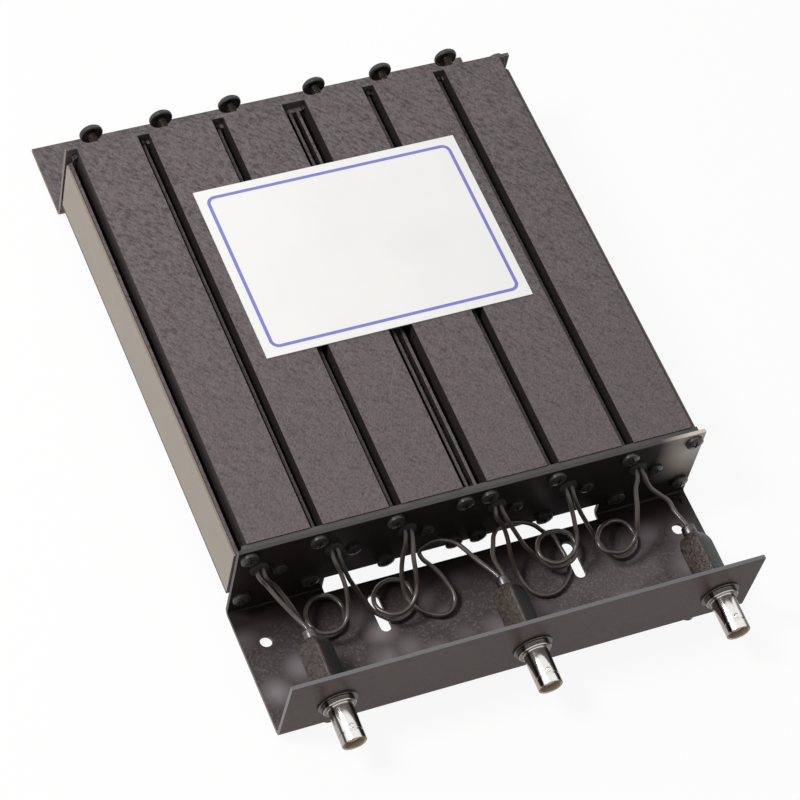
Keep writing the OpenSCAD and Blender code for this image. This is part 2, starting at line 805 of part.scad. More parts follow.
place() jack_right();
place() jack_nuts();
place() jack_washers();
place() jack_insulators();
place() jack_contacts();
place() boot_left();
place() boot_middle();
place() boot_right();
place() jack_ferrules();
place() front_top_screws();
place() front_bottom_screws();
place() resonator_screws();
place() rear_top_screws();
place() rear_bottom_screws();
place() base_feet();
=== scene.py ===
"""A six-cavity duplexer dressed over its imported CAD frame.

The CAD nodes keep their places and get finishes. The leads, jacks, boots, tuning rods and
knobs are replaced by finer pieces of the same size. Lengths are metres.
"""

import logging
import math
from dataclasses import dataclass, field
from enum import Enum
from typing import Iterable, Sequence

import bmesh
import bpy
from bpy.types import Material, Node, NodeSocket, NodeTree, Object
from mathutils import Matrix, Vector

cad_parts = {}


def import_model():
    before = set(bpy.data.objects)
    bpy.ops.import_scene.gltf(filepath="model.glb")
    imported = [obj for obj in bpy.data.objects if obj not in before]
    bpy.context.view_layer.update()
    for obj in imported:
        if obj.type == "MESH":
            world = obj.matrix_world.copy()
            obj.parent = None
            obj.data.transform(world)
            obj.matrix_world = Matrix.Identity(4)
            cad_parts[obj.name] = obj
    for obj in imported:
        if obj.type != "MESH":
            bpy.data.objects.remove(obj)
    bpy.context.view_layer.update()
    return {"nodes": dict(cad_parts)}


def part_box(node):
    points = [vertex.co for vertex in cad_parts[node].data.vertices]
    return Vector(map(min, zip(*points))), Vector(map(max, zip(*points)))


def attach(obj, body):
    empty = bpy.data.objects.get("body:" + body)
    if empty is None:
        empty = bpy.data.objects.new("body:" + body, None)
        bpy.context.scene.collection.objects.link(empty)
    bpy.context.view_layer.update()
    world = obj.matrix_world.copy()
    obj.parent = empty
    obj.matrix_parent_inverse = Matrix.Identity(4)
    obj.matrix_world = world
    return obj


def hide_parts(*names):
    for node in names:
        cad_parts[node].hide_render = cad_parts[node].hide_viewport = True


MM = 0.001
# Distance within which two places count as one
NEAR = 0.01 * MM
# Radius that stands for the axis in a turned outline
AXIS = 0.02 * MM
TUNERS = range(1, 7)
ROOT = "duplexer"
Pair = tuple[float, float]
Triple = tuple[float, float, float]
Colour = Triple
log = logging.getLogger("duplexer")


class Jack(Enum):
    """The three jacks, by place on the flange."""

    LEFT = "left"
    MIDDLE = "middle"
    RIGHT = "right"


class Nodes:
    """A node tree, with short calls for the nodes used here."""

    def __init__(self, tree: NodeTree) -> None:
        """Takes the tree that the calls add to."""
        self.tree = tree

    def node(self, kind: str, **values: object) -> Node:
        """Adds a node and sets its attributes or input values.

        Args:
            kind: Node type, without its ShaderNode prefix.
            **values: Attribute names, or input names with underscores for spaces.

        Returns:
            The new node.
        """
        made = self.tree.nodes.new("ShaderNode" + kind)
        for key, value in values.items():
            if hasattr(made, key):
                setattr(made, key, value)
            else:
                made.inputs[key.replace("_", " ")].default_value = value
        return made

    def link(self, source: NodeSocket, target: NodeSocket) -> None:
        """Joins an output to an input."""
        self.tree.links.new(source, target)

    def remap(self, source: NodeSocket, low: float, high: float, to_low: float,
              to_high: float) -> NodeSocket:
        """Maps a value from one range to another, clamped.

        Args:
            source: The value.
            low: Start of its range.
            high: End of its range.
            to_low: What low becomes.
            to_high: What high becomes.

        Returns:
            The mapped value.
        """
        made = self.node("MapRange")
        for index, value in enumerate((low, high, to_low, to_high), start=1):
            made.inputs[index].default_value = value
        self.link(source, made.inputs[0])
        return made.outputs[0]

    def math(self, operation: str, first: NodeSocket | float,
             second: NodeSocket | float = 0.0) -> NodeSocket:
        """One step of arithmetic.

        Args:
            operation: Name of the operation.
            first: Value or socket.
            second: Value or socket, which some operations don't use.

        Returns:
            The result.
        """
        made = self.node("Math", operation=operation)
        for index, value in enumerate((first, second)):
            if isinstance(value, NodeSocket):
                self.link(value, made.inputs[index])
            else:
                made.inputs[index].default_value = value
        return made.outputs[0]

    def seen(self) -> NodeSocket:
        """1 for rays from the camera, from reflections and from glass, else 0."""
        path = self.node("LightPath").outputs
        mirrored = self.math("MAXIMUM", path["Is Glossy Ray"], path["Is Transmission Ray"])
        return self.math("MAXIMUM", path["Is Camera Ray"], mirrored)


class Graph(Nodes):
    """A material's node tree, with calls for coordinates, patterns and the shader."""

    usual: Pair = (0.3, 0.7)
    sideways: Pair = (0.6, 0.9)
    upwards: Pair = (0.5, 0.9)

    def __init__(self, name: str) -> None:
        """Starts a material of a given name with its principled shader."""
        self.material: Material = bpy.data.materials.new(name)
        self.material.use_nodes = True
        super().__init__(self.material.node_tree)
        self.shader: Node = self.tree.nodes["Principled BSDF"]

    def place(self, stretch: Sequence[float] = (1, 1, 1), turn: float = 0.0) -> NodeSocket:
        """Object coordinates, turned about z and then stretched along each axis.

        Args:
            stretch: How many times longer a pattern gets along x, y and z.
            turn: Angle from the x axis to the pattern's own x axis.

        Returns:
            The vector output.
        """
        coords = self.node("TexCoord")
        mapping = self.node("Mapping", vector_type="TEXTURE", Scale=stretch,
                            Rotation=(0, 0, turn))
        self.link(coords.outputs["Object"], mapping.inputs["Vector"])
        return mapping.outputs["Vector"]

    def noise(self, size: float, detail: float = 3.0, rough: float = 0.5,
              stretch: Sequence[float] = (1, 1, 1), turn: float = 0.0) -> NodeSocket:
        """Cloudy noise from 0 to 1.

        Args:
            size: Width of one blotch.
            detail: Octaves of finer noise.
            rough: Weight of the finer octaves.
            stretch: How many times longer the blotches get along x, y and z.
            turn: Angle from the x axis to the blotches' own x axis.

        Returns:
            The factor output.
        """
        made = self.node("TexNoise", Scale=1 / size, Detail=detail, Roughness=rough)
        self.link(self.place(stretch, turn), made.inputs["Vector"])
        return made.outputs["Fac"]

    def cells(self, size: float, smooth: float = 1.0) -> NodeSocket:
        """Rounded cells, as the distance to the nearest cell's middle.

        Args:
            size: Width of one cell.
            smooth: How far the cells blend, up to 1.

        Returns:
            The distance output.
        """
        made = self.node("TexVoronoi", feature="SMOOTH_F1", Scale=1 / size, Smoothness=smooth)
        self.link(self.place(), made.inputs["Vector"])
        return made.outputs["Distance"]

    def spread(self, noise: NodeSocket, to_low: float = 0.0, to_high: float = 1.0) -> NodeSocket:
        """Maps the usual range of a noise to another one."""
        return self.remap(noise, *self.usual, to_low, to_high)

    def mix(self, factor: NodeSocket, first: Colour | NodeSocket,
            second: Colour | NodeSocket) -> NodeSocket:
        """Mixes two colours.

        Args:
            factor: 0 for the first, 1 for the second.
            first: Colour or socket.
            second: Colour or socket.

        Returns:
            The mixed colour.
        """
        made = self.node("Mix", data_type="RGBA")
        self.link(factor, made.inputs[0])
        for index, value in ((6, first), (7, second)):
            if isinstance(value, NodeSocket):
                self.link(value, made.inputs[index])
            else:
                made.inputs[index].default_value = (*value, 1)
        return made.outputs[2]

    def bump(self, height: NodeSocket, depth: float,
             under: NodeSocket | None = None) -> NodeSocket:
        """A bump of a real depth.

        Args:
            height: Height from 0 to 1.
            depth: Depth of the full range.
            under: Normal that the bump is laid on.

        Returns:
            The bumped normal.
        """
        made = self.node("Bump", Distance=depth)
        self.link(height, made.inputs["Height"])
        if under is not None:
            self.link(under, made.inputs["Normal"])
        return made.outputs["Normal"]

    def soft_edge(self, radius: float) -> NodeSocket:
        """A normal that rounds sharp edges by a small radius."""
        return self.node("Bevel", samples=6, Radius=radius).outputs["Normal"]

    def part_of(self, output: str, axis: int) -> NodeSocket:
        """One axis of the object's own coordinates ("Object") or normals ("Normal")."""
        split = self.node("SeparateXYZ")
        self.link(self.node("TexCoord").outputs[output], split.inputs[0])
        return split.outputs[axis]

    def to_side(self) -> NodeSocket:
        """1 on faces that point to the left or right, else 0."""
        across = self.math("ABSOLUTE", self.part_of("Normal", 0))
        return self.remap(across, *self.sideways, 0, 1)

    def to_top(self) -> NodeSocket:
        """1 on faces that point up, else 0."""
        return self.remap(self.part_of("Normal", 2), *self.upwards, 0, 1)

    def set(self, **values: object) -> None:
        """Sets or links the shader's inputs.

        Args:
            **values: Input names with underscores for spaces, and values or sockets.
        """
        for key, value in values.items():
            target = self.shader.inputs[key.replace("_", " ")]
            if isinstance(value, NodeSocket):
                self.link(value, target)
            else:
                target.default_value = value


@dataclass(frozen=True)
class Finish:
    """A paint, plastic or metal with blotches of tone, gloss and fine grain. Faces that point to
    the right can take a painted shade of their own.
    """

    name: str
    colour: Colour
    second: Colour
    roughness: Pair
    metallic: float = 0.0
    blotch: float = 8 * MM
    grain: float = 0.4 * MM
    depth: float = 0.01 * MM
    edge: float = 0.25 * MM
    stretch: Triple = (1, 1, 1)
    specular: float = 0.5
    coat: float = 0.0
    coat_roughness: float = 0.1
    # Painted shade for faces that point to the right, standing for the shade they fall in
    right: Colour | None = None
    right_shade_span: Pair = (0.3, 0.6)

    def make(self) -> Material:
        """Builds the material.

        Returns:
            The material.
        """
        graph = Graph(self.name)
        tone = graph.noise(self.blotch, 4, 0.55, self.stretch)
        fine = graph.noise(self.grain, 2, 0.5, self.stretch)
        colour = graph.mix(graph.spread(tone), self.colour, self.second)
        # Painted shade: faces that point to the right take the darker colour
        if self.right is not None:
            right_shaded = graph.remap(graph.part_of("Normal", 0), *self.right_shade_span, 0, 1)
            colour = graph.mix(right_shaded, colour, self.right)
        graph.set(
            Base_Color=colour,
            Roughness=graph.spread(tone, *self.roughness),
            Metallic=self.metallic,
            Specular_IOR_Level=self.specular,
            Normal=graph.bump(fine, self.depth, graph.soft_edge(self.edge)),
            Coat_Weight=self.coat,
            Coat_Roughness=self.coat_roughness,
        )
        return graph.material


@dataclass(frozen=True)
class WrinkleCoat:
    """Baked wrinkle enamel: short slanting folds, coarse at the rear and fine at the front, over
    small pebbles, with a painted highlight where they rise and painted shade in their creases.
    Faces that point to a side take the sides colour in place of the enamel.
    """

    name: str
    # Colour of faces that point to a side, used in place of the enamel
    sides: Colour
    colour: Colour = (0.062, 0.049, 0.051)
    # Painted highlight on raised places and painted shade in the creases of the folds
    lit_crest: Colour = (0.142, 0.117, 0.122)
    shaded_crease: Colour = (0.036, 0.028, 0.029)
    pebble: float = 0.75 * MM
    pebble_share: float = 0.3
    fold: float = 1.15 * MM
    stretch: Triple = (2.2, 1, 1)
    slant: float = math.radians(-50)
    depth: float = 0.5 * MM
    edge: float = 0.3 * MM
    fine: Pair = (-90 * MM, 70 * MM)
    roughness: Pair = (0.65, 0.5)
    specular: float = 0.35

    def make(self) -> Material:
        """Builds the material.

        Returns:
            The material.
        """
        graph = Graph(self.name)
        pebbles = graph.remap(graph.cells(self.pebble), 0.1, 0.75, 1, 0)
        folds = graph.noise(self.fold, 2, 0.5, self.stretch, self.slant)
        coarse = graph.remap(graph.part_of("Object", 1), *self.fine, 0.35, 1)
        lifted = graph.math("MULTIPLY", graph.math("SUBTRACT", folds, 0.5), coarse)
        height = graph.math("ADD", graph.math("MULTIPLY", pebbles, self.pebble_share), lifted)
        # Painted relief light: lighter where the folds rise, darker in their creases
        ground = graph.mix(graph.remap(height, -0.12, 0.4, 0, 1), self.colour, self.lit_crest)
        crease_shade = graph.remap(lifted, -0.2, -0.05, 0.5, 0)
        enamel = graph.mix(crease_shade, ground, self.shaded_crease)
        graph.set(
            # Faces that point to a side take the sides colour; on the cavity blocks it is painted
            # shade in the gaps
            Base_Color=graph.mix(graph.to_side(), enamel, self.sides),
            Roughness=graph.remap(height, -0.1, 0.35, *self.roughness),
            Specular_IOR_Level=self.specular,
            Normal=graph.bump(height, self.depth, graph.soft_edge(self.edge)),
        )
        return graph.material


@dataclass(frozen=True)
class SheetPaint:
    """Soft black paint on folded sheet, with painted light laid on it: painted shade on the
    upright and a painted reflection at its right end, lighter blots, specks and haze of painted
    light towards the flange and the right, a painted highlight along its rims, and a warm painted
    reflection on faces that don't point up.
    """

    name: str = "sheet_paint"
    # Painted shade: this colour darkens the upright and the shelf near it; the next is the paint
    # out of that shade
    upright_shade: Colour = (0.018, 0.0135, 0.0135)
    lit: Colour = (0.067, 0.0545, 0.055)
    # A warm painted reflection on faces that don't point up, such as the flange's face
    front: Colour = (0.072, 0.0495, 0.0475)
    # Painted light: the lighter tone of blots, specks and haze on the shelf, standing for light
    # and reflections
    sheen: Colour = (0.24, 0.215, 0.228)
    # Painted highlight along the rims
    rim_highlight: Colour = (0.168, 0.164, 0.167)
    # Painted reflection: a pale beige patch at the right end of the upright
    reflection_tone: Colour = (0.92, 0.82, 0.73)
    # Span along y over which the upright's painted shade fades
    shade_span: Pair = (-84 * MM, -102 * MM)
    # Span along y over which that painted light grows towards the flange
    sheen_span: Pair = (-84 * MM, -104 * MM)
    rim: Pair = (20 * MM, 26 * MM)
    reflection_across: Pair = (76 * MM, 89 * MM)
    reflection_up: Pair = (14 * MM, 32 * MM)
    reflection_share: float = 0.9
    # Painted light that grows towards the right along x
    light_to_right: Pair = (-30 * MM, 80 * MM)
    light_to_right_share: float = 0.34
    speck_share: float = 0.5
    blot: float = 17 * MM
    speck: float = 0.9 * MM
    speck_depth: float = 0.02 * MM
    ripple: float = 14 * MM
    depth: float = 0.1 * MM
    edge: float = 0.35 * MM
    roughness: Pair = (0.36, 0.5)
    specular: float = 0.12
    tint: Colour = (1.0, 0.88, 0.86)
    coat: float = 0.04
    coat_roughness: float = 0.16

    def make(self) -> Material:
        """Builds the material.

        Returns:
            The material.
        """
        graph = Graph(self.name)
        across, forward, height = (graph.part_of("Object", axis) for axis in range(3))
        facing = graph.to_top()
        fine = graph.noise(self.speck, 3, 0.6)
        # Painted reflection laid on the upright's right end
        reflection = graph.math("MULTIPLY", graph.remap(forward, *self.shade_span, 1, 0),
                           graph.remap(across, *self.reflection_across, 0, self.reflection_share))
        reflection = graph.math("MULTIPLY", reflection, graph.remap(height, *self.reflection_up, 0, 1))
        # Painted highlight on faces that point to a side and on high up-facing faces, weaker at
        # the upright
        rims = graph.math("MAXIMUM", graph.to_side(),
                          graph.math("MULTIPLY", facing, graph.remap(height, *self.rim, 0, 1)))
        rims = graph.math("MULTIPLY", rims, graph.remap(forward, *self.shade_span, 0.3, 1))
        # Painted light and reflection on up-facing faces, growing towards the flange
        near = graph.math("MULTIPLY", facing, graph.remap(forward, *self.sheen_span, 0, 1))
        # Faces that don't point up take the warm painted reflection
        lit = graph.mix(facing, self.front, self.lit)
        # Painted shade fades from the upright towards the flange, and painted light is laid over
        # it
        ground = graph.mix(graph.math("MULTIPLY", self.sheen_spots(graph, fine, across), near),
                           graph.mix(graph.remap(forward, *self.shade_span, 0, 1), self.upright_shade, lit),
                           self.sheen)
        under = graph.bump(graph.noise(self.ripple, 1.5, 0.4), self.depth,
                           graph.soft_edge(self.edge))
        graph.set(
            Base_Color=graph.mix(rims, graph.mix(reflection, ground, self.reflection_tone), self.rim_highlight),
            Roughness=graph.spread(fine, *self.roughness),
            Specular_IOR_Level=self.specular,
            Specular_Tint=(*self.tint, 1),
            Normal=graph.bump(fine, self.speck_depth, under),
            Coat_Weight=self.coat,
            Coat_Roughness=self.coat_roughness,
        )
        return graph.material

    def sheen_spots(self, graph: Graph, fine: NodeSocket, across: NodeSocket) -> NodeSocket:
        """Painted light and reflection: lighter round blots and specks, and a haze that grows to
        the right.

        Args:
            graph: The material's graph.
            fine: Noise of the specks.
            across: Place along x.

        Returns:
            How much of the painted light the paint takes.
        """
        cloud = graph.noise(self.blot, 2, 0.4)
        blots = graph.math("MULTIPLY", graph.remap(graph.cells(self.blot, 0.3), 0.05, 0.46, 1, 0),
                           graph.remap(cloud, 0.3, 0.5, 0.45, 1))
        specks = graph.remap(fine, 0.5, 0.72, 0, self.speck_share)
        light_to_right = graph.math("MULTIPLY", graph.remap(cloud, 0.42, 0.58, 0.2, 1),
                          graph.remap(across, *self.light_to_right, 0, self.light_to_right_share))
        return graph.math("ADD", graph.math("MAXIMUM", blots, specks), light_to_right)


@dataclass(frozen=True)
class LabelFilm:
    """White film with a printed border line that has round corners."""

    centre: Vector
    half: Vector
    name: str = "label_film"
    film: Colour = (0.86, 0.86, 0.85)
    shade: Colour = (0.83, 0.83, 0.825)
    ink: Colour = (0.17, 0.17, 0.56)
    worn_ink: Colour = (0.26, 0.26, 0.64)
    roughness: Pair = (0.4, 0.5)
    inset: float = 4.2 * MM
    line: float = 0.62 * MM
    corner: float = 3 * MM
    fade: float = 0.15 * MM
    speck: float = 1.2 * MM
    cloud: float = 30 * MM
    ripple: float = 9 * MM
    depth: float = 0.05 * MM
    edge: float = 0.1 * MM

    def make(self) -> Material:
        """Builds the material.

        Returns:
            The material.
        """
        graph = Graph(self.name)
        squares = []
        for axis in (0, 1):
            offset = graph.math("SUBTRACT", graph.part_of("Object", axis), self.centre[axis])
            flat = self.half[axis] - self.inset - self.corner
            past = graph.math("SUBTRACT", graph.math("ABSOLUTE", offset), flat)
            span = graph.math("MAXIMUM", past, 0.0)
            squares.append(graph.math("MULTIPLY", span, span))
        reach = graph.math("SQRT", graph.math("ADD", *squares))
        away = graph.math("ABSOLUTE", graph.math("SUBTRACT", reach, self.corner))
        border = graph.remap(away, self.line, self.line + self.fade, 1, 0)
        speck = graph.noise(self.speck, 3, 0.6)
        ink = graph.mix(graph.remap(speck, 0.35, 0.7, 0, 0.5), self.ink, self.worn_ink)
        film = graph.mix(graph.spread(graph.noise(self.cloud)), self.film, self.shade)
        graph.set(
            Base_Color=graph.mix(border, film, ink),
            Roughness=graph.spread(speck, *self.roughness),
            Normal=graph.bump(graph.noise(self.ripple), self.depth, graph.soft_edge(self.edge)),
        )
        return graph.material


@dataclass(frozen=True)
class ThreadedMetal:
    """Metal with the fine rings of a thread along y."""

    name: str = "threaded_metal"
    colour: Colour = (0.07, 0.058, 0.046)
    second: Colour = (0.022, 0.018, 0.015)
    pitch: float = 0.8 * MM
    depth: float = 0.25 * MM
    roughness: Pair = (0.5, 0.3)
    metallic: float = 0.9

    def make(self) -> Material:
        """Builds the material.

        Returns:
            The material.
        """
        graph = Graph(self.name)
        turns = math.pi / 10 / self.pitch
        wave = graph.node("TexWave", bands_direction="Y", Scale=turns)
        graph.link(graph.place(), wave.inputs["Vector"])
        rings = wave.outputs["Fac"]
        graph.set(
            Base_Color=graph.mix(rings, self.second, self.colour),
            Roughness=graph.remap(rings, 0, 1, *self.roughness),
            Metallic=self.metallic,
            Normal=graph.bump(rings, self.depth),
        )
        return graph.material


@dataclass(frozen=True)
class PolishedShell:
    """Nickel on a round shell, with a painted highlight along its top and painted shade along its
    flanks and on its front faces, warm inside its cup. The shell's attributes "turn", "front"
    and "inside" say where.
    """

    name: str = "polished_nickel"
    # Painted highlight and painted shade, laid in bands around the shell by how far each point is
    # turned
    bright: Colour = (0.84, 0.82, 0.79)
    flank_shade: Colour = (0.42, 0.38, 0.36)
    painted_shade: Colour = (0.08, 0.066, 0.055)
    cup: Colour = (0.62, 0.52, 0.4)
    bands: tuple[tuple[float, str], ...] = (
        (0.05, "flank_shade"), (0.075, "painted_shade"), (0.12, "painted_shade"), (0.15, "bright"), (0.68, "bright"),
        (0.78, "painted_shade"), (0.88, "painted_shade"), (0.96, "flank_shade"))
    wobble: float = 0.07
    cloud: float = 2.5 * MM
    stretch: Triple = (1, 2.5, 1)
    front_shade_share: float = 0.85
    cup_metallic: float = 0.2
    roughness: Pair = (0.1, 0.2)
    edge: float = 0.15 * MM

    def make(self) -> Material:
        """Builds the material.

        Returns:
            The material.
        """
        graph = Graph(self.name)
        turn, front, inside = (graph.node("Attribute", attribute_name=name).outputs["Fac"]
                               for name in ("turn", "front", "inside"))
        cloud = graph.noise(self.cloud, 3, 0.5, self.stretch)
        spot = graph.math("ADD", graph.remap(turn, -1, 1, 0, 1),
                          graph.math("MULTIPLY", graph.math("SUBTRACT", cloud, 0.5), self.wobble))
        # Painted bands of highlight and shade around the shell
        ramp = graph.node("ValToRGB")
        stops = ramp.color_ramp.elements
        for index, (place, tone) in enumerate(self.bands):
            stop = stops[index] if index < 1 else stops.new(place)
            stop.position = place
            stop.color = (*getattr(self, tone), 1)
        stops.remove(stops[-1])
        graph.link(spot, ramp.inputs[0])
        # Painted shade on the front faces
        front_shade = graph.math("MULTIPLY", front, self.front_shade_share)
        outside = graph.mix(front_shade, ramp.outputs[0], self.painted_shade)
        graph.set(
            Base_Color=graph.mix(inside, outside, self.cup),
            Roughness=graph.spread(cloud, *self.roughness),
            Metallic=graph.remap(inside, 0, 1, 1, self.cup_metallic),
            Normal=graph.soft_edge(self.edge),
        )
        return graph.material


class Palette:
    """The finishes of the part, each built once."""

    def __init__(self) -> None:
        """Builds every finish."""
        low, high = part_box("label_plate")
        centre = (Vector(low) + Vector(high)) / 2
        half = (Vector(high) - Vector(low)) / 2
        # Cavity blocks: the nearly black sides colour is painted shade in the gaps between cells;
        # the rear bracket's sides take a pale tone
        self.wrinkle = WrinkleCoat("wrinkle_enamel", (0.019, 0.0155, 0.015)).make()
        self.rear_wrinkle = WrinkleCoat("rear_wrinkle_enamel", (0.2, 0.17, 0.138)).make()
        self.sheet = SheetPaint().make()
        self.label = LabelFilm(centre, half).make()
        self.thread = ThreadedMetal().make()
        self.end_plate = Finish("end_plate_paint", (0.03, 0.028, 0.028), (0.05, 0.045, 0.045),
                                (0.35, 0.5)).make()
        self.cover = Finish("cover_satin", (0.225, 0.185, 0.146), (0.255, 0.212, 0.17),
                            (0.34, 0.46), blotch=20 * MM, grain=0.5 * MM,
                            depth=0.02 * MM).make()
        self.copper = Finish("dull_copper", (0.5, 0.28, 0.17), (0.4, 0.2, 0.12), (0.3, 0.45),
                             metallic=1).make()
        self.brass = Finish("turned_brass", (0.5, 0.38, 0.19), (0.4, 0.3, 0.15), (0.25, 0.4),
                            metallic=1, blotch=3 * MM).make()
        self.knob = Finish("knob_phenolic", (0.012, 0.0105, 0.0095), (0.026, 0.021, 0.018),
                           (0.28, 0.4), blotch=3 * MM).make()
        self.steel = Finish("plated_steel", (0.27, 0.25, 0.22), (0.17, 0.155, 0.14), (0.25, 0.4),
                            metallic=1, blotch=3 * MM).make()
        self.rubber = Finish("black_rubber", (0.02, 0.02, 0.02), (0.03, 0.028, 0.027),
                             (0.55, 0.7)).make()
        self.jacket = Finish("lead_jacket", (0.043, 0.034, 0.029), (0.07, 0.056, 0.048),
                             (0.3, 0.42), blotch=5 * MM, edge=0.05 * MM, coat=0.4,
                             coat_roughness=0.2).make()
        self.nickel = PolishedShell().make()
        self.oxide = Finish("black_oxide", (0.022, 0.02, 0.02), (0.04, 0.036, 0.034),
                            (0.25, 0.38), blotch=2 * MM).make()
        self.insulator = Finish("cream_insulator", (0.72, 0.6, 0.44), (0.62, 0.5, 0.35),
                                (0.35, 0.5), blotch=2 * MM).make()
        self.gold = Finish("gold_plate", (0.75, 0.52, 0.2), (0.65, 0.45, 0.18), (0.15, 0.25),
                           metallic=1, blotch=1 * MM).make()
        # Boot plastic: the near black right colour is painted shade on faces that point to the
        # right
        self.boot = Finish("boot_plastic", (0.01, 0.0075, 0.0065), (0.085, 0.064, 0.052),
                           (0.3, 0.45), blotch=1.2 * MM, grain=0.7 * MM, depth=0.25 * MM,
                           edge=0.2 * MM, specular=0.3,
                           right=(0.005, 0.0045, 0.0045)).make()
        self.ferrule = Finish("ferrule_plate", (0.13, 0.126, 0.128), (0.06, 0.055, 0.054),
                              (0.28, 0.4), metallic=1, blotch=1.5 * MM).make()

    def dress(self, nodes: dict[str, Object]) -> None:
        """Gives each CAD node its finish.

        Args:
            nodes: The CAD nodes by name.
        """
        rules: list[tuple[str, Material]] = [
            ("front_bracket", self.sheet), ("rear_bracket", self.rear_wrinkle),
            ("front_end_plate", self.end_plate), ("rear_end_plate", self.wrinkle),
            ("cavity_block", self.wrinkle), ("side_cover", self.cover),
            ("label_plate", self.label), ("resonator_screws", self.oxide),
            ("resonator", self.copper), ("tuning_rod", self.thread),
            ("tuning_knob", self.knob), ("tuning_bushings", self.brass),
            ("lock_nuts", self.steel), ("coupling_loops", self.copper),
            ("port_grommets", self.rubber), ("lead", self.jacket),
            ("jack_nuts", self.steel), ("jack_washers", self.oxide),
            ("jack_insulators", self.insulator), ("jack_contacts", self.gold),
            ("jack_ferrules", self.ferrule), ("jack", self.nickel), ("boot", self.boot),
            ("front_top_screws", self.oxide), ("front_bottom_screws", self.oxide),
            ("rear_top_screws", self.oxide), ("rear_bottom_screws", self.oxide),
            ("base_feet", self.rubber),
        ]
        for name, node in nodes.items():
            finish = next(made for start, made in rules if name.startswith(start))
            node.data.materials.clear()
            node.data.materials.append(finish)


def finished(name: str, mesh: bmesh.types.BMesh, finish: Material, body: str,
             replaced: Iterable[str] = (), smooth: float = 40.0) -> Object:
    """Makes a bmesh an object, smooths it, gives it a finish and lets it ride on a body.

    Args:
        name: Name of the piece.
        mesh: The bmesh, which is freed.
        finish: Its material.
        body: CAD body that it rides on.
        replaced: CAD nodes that it stands for.
        smooth: Angle in degrees over which edges stay sharp.

    Returns:
        The new object.
    """
    bmesh.ops.remove_doubles(mesh, verts=mesh.verts, dist=0.002 * MM)
    bmesh.ops.recalc_face_normals(mesh, faces=mesh.faces)
    for edge in mesh.edges:
        edge.smooth = len(edge.link_faces) == 2 and edge.calc_face_angle(0) < math.radians(smooth)
    for face in mesh.faces:
        face.smooth = True
    data = bpy.data.meshes.new(name)
    mesh.to_mesh(data)
    mesh.free()
    piece = bpy.data.objects.new(name, data)
    bpy.context.scene.collection.objects.link(piece)
    data.materials.append(finish)
    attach(piece, body)
    nodes = list(replaced)
    if nodes:
        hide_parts(*nodes)
    log.info("%s: %d faces on %s", name, len(data.polygons), body)
    return piece


def turned(profile: Sequence[Pair], steps: int = 48) -> bmesh.types.BMesh:
    """Spins a closed outline of (radius, height) points about z.

    Args:
        profile: Corners of the outline, in order.
        steps: Faces around the full turn.

    Returns:
        The turned solid.
    """
    mesh = bmesh.new()
    verts = [mesh.verts.new((radius, 0, height)) for radius, height in profile]
    edges = [mesh.edges.new((verts[k - 1], verts[k])) for k in range(len(verts))]
    bmesh.ops.spin(mesh, geom=verts + edges, axis=(0, 0, 1), cent=(0, 0, 0),
                   angle=2 * math.pi, steps=steps, use_merge=True)
    bmesh.ops.remove_doubles(mesh, verts=mesh.verts, dist=0.002 * MM)
    return mesh


def bevelled(mesh: bmesh.types.BMesh, edges: list[bmesh.types.BMEdge], width: float,
             segments: int) -> None:
    """Rounds some edges of a mesh.

    Args:
        mesh: The bmesh.
        edges: The edges.
        width: Width of the bevel.
        segments: Faces across the bevel.
    """
    bmesh.ops.bevel(mesh, geom=edges, offset=width, offset_type="OFFSET", segments=segments,
                    profile=0.5, affect="EDGES", material=-1, clamp_overlap=True)


def edges_of(mesh: bmesh.types.BMesh,
             made: dict[str, list[bmesh.types.BMVert]]) -> list[bmesh.types.BMEdge]:
    """The edges of what an operator has just made, in the mesh's order."""
    verts = set(made["verts"])
    return [edge for edge in mesh.edges if edge.verts[0] in verts]


